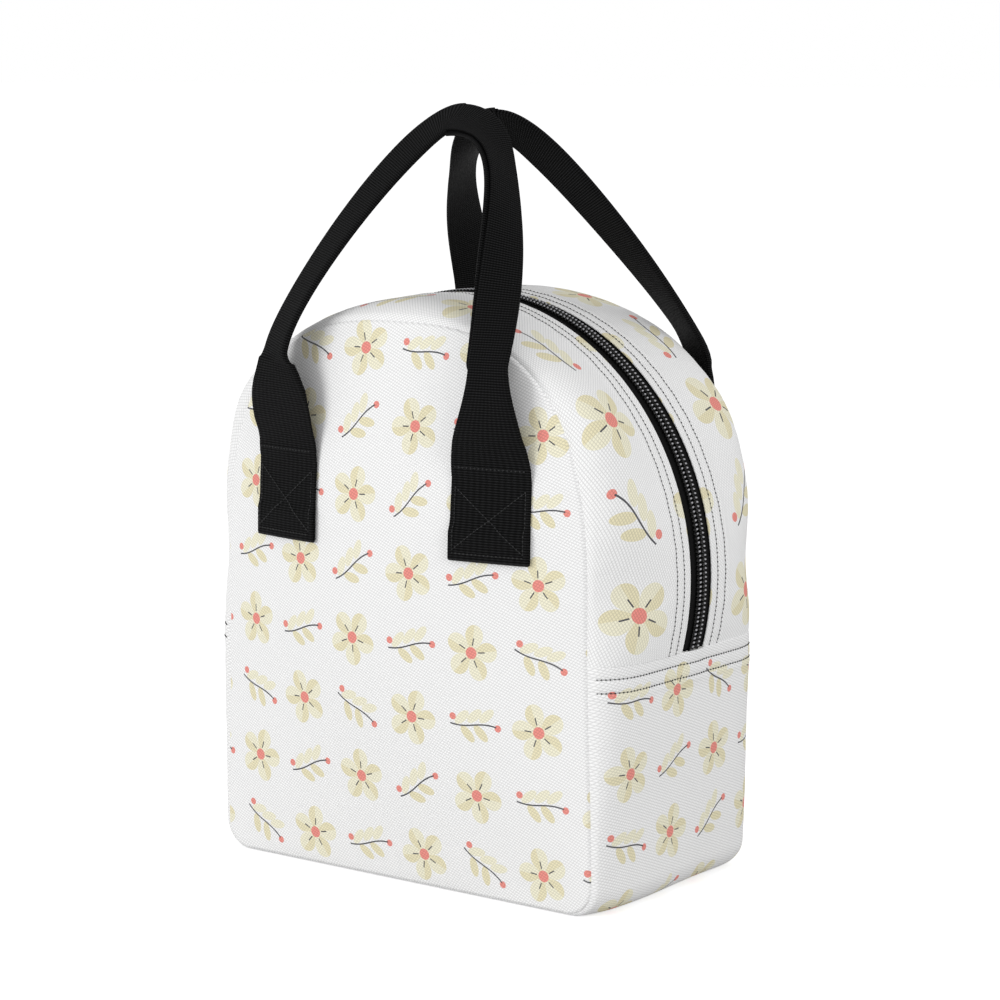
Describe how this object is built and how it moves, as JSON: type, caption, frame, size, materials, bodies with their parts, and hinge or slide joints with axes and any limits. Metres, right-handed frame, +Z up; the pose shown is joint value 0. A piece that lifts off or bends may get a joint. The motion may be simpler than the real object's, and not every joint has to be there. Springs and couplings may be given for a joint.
{
  "type": "insulated lunch bag",
  "caption": "Soft insulated lunch bag with domed front and back panels, an arched zip that opens the top, foil lining and webbing carry handles.",
  "frame": {"origin": "the middle of the base, on the surface the bag stands on", "axes": "+X to the right along the front panel, -Y out of the front panel, +Z up"},
  "size_m": [0.2544, 0.1579, 0.3567],
  "materials": {
    "printed_cover": "white 600D woven polyester, printed with scattered cream motifs",
    "foam": "closed-cell polyethylene foam sheet",
    "foil_lining": "aluminised film lining, slightly crinkled",
    "binding_tape": "white woven binding tape",
    "zip_tape": "black woven polyester zip tape",
    "zip_coil": "black nylon coil",
    "zip_metal": "black enamelled zinc",
    "webbing": "black ribbed polypropylene webbing"
  },
  "bodies": {
    "root": {"front_panel_lower": "printed_cover", "back_panel_lower": "printed_cover", "lower_band": "printed_cover", "strip_ends": "printed_cover", "front_foam_lower": "foam", "back_foam_lower": "foam", "band_foam": "foam", "strip_end_foam": "foam", "front_lining_lower": "foil_lining", "back_lining_lower": "foil_lining", "band_lining": "foil_lining", "strip_end_lining": "foil_lining", "front_binding_lower": "binding_tape", "back_binding_lower": "binding_tape", "zip_tape_ends": "zip_tape", "zip_coil_ends": "zip_coil"},
    "front_flap": {"front_panel_upper": "printed_cover", "front_top_strip": "printed_cover", "front_foam_upper": "foam", "front_strip_foam": "foam", "front_lining_upper": "foil_lining", "front_strip_lining": "foil_lining", "front_binding_upper": "binding_tape", "front_zip_tape": "zip_tape", "front_zip_coil": "zip_coil", "front_left_patch": "webbing", "front_right_patch": "webbing"},
    "back_flap": {"back_panel_upper": "printed_cover", "back_top_strip": "printed_cover", "back_foam_upper": "foam", "back_strip_foam": "foam", "back_lining_upper": "foil_lining", "back_strip_lining": "foil_lining", "back_binding_upper": "binding_tape", "back_zip_tape": "zip_tape", "back_zip_coil": "zip_coil", "back_left_patch": "webbing", "back_right_patch": "webbing"},
    "slider": {"zip_slider": "zip_metal"},
    "pull_tab": {"pull_tab": "zip_metal"},
    "front_handle": {"front_handle": "webbing"},
    "back_handle": {"back_handle": "webbing"}
  },
  "joints": [
    {"name": "front_opening", "type": "hinge", "parent": "root", "child": "front_flap", "pos_m": [0, -0.0768, 0.136], "axis": [1, 0, 0], "range_deg": [0, 25]},
    {"name": "back_opening", "type": "hinge", "parent": "root", "child": "back_flap", "pos_m": [0, 0.0768, 0.136], "axis": [-1, 0, 0], "range_deg": [0, 25]},
    {"name": "slider_travel", "type": "hinge", "parent": "root", "child": "slider", "pos_m": [0, 0, 0.14609], "axis": [0, 1, 0], "range_deg": [0, 200.8]},
    {"name": "pull_tab_swing", "type": "hinge", "parent": "slider", "child": "pull_tab", "pos_m": [-0.12621, 0, 0.12296], "axis": [0, 1, 0], "range_deg": [-8, 150]},
    {"name": "front_handle_swing", "type": "hinge", "parent": "front_flap", "child": "front_handle", "pos_m": [0, -0.07496, 0.1995], "axis": [1, 0, 0], "range_deg": [0, 160]},
    {"name": "back_handle_swing", "type": "hinge", "parent": "back_flap", "child": "back_handle", "pos_m": [0, 0.07496, 0.1995], "axis": [-1, 0, 0], "range_deg": [0, 160]}
  ]
}
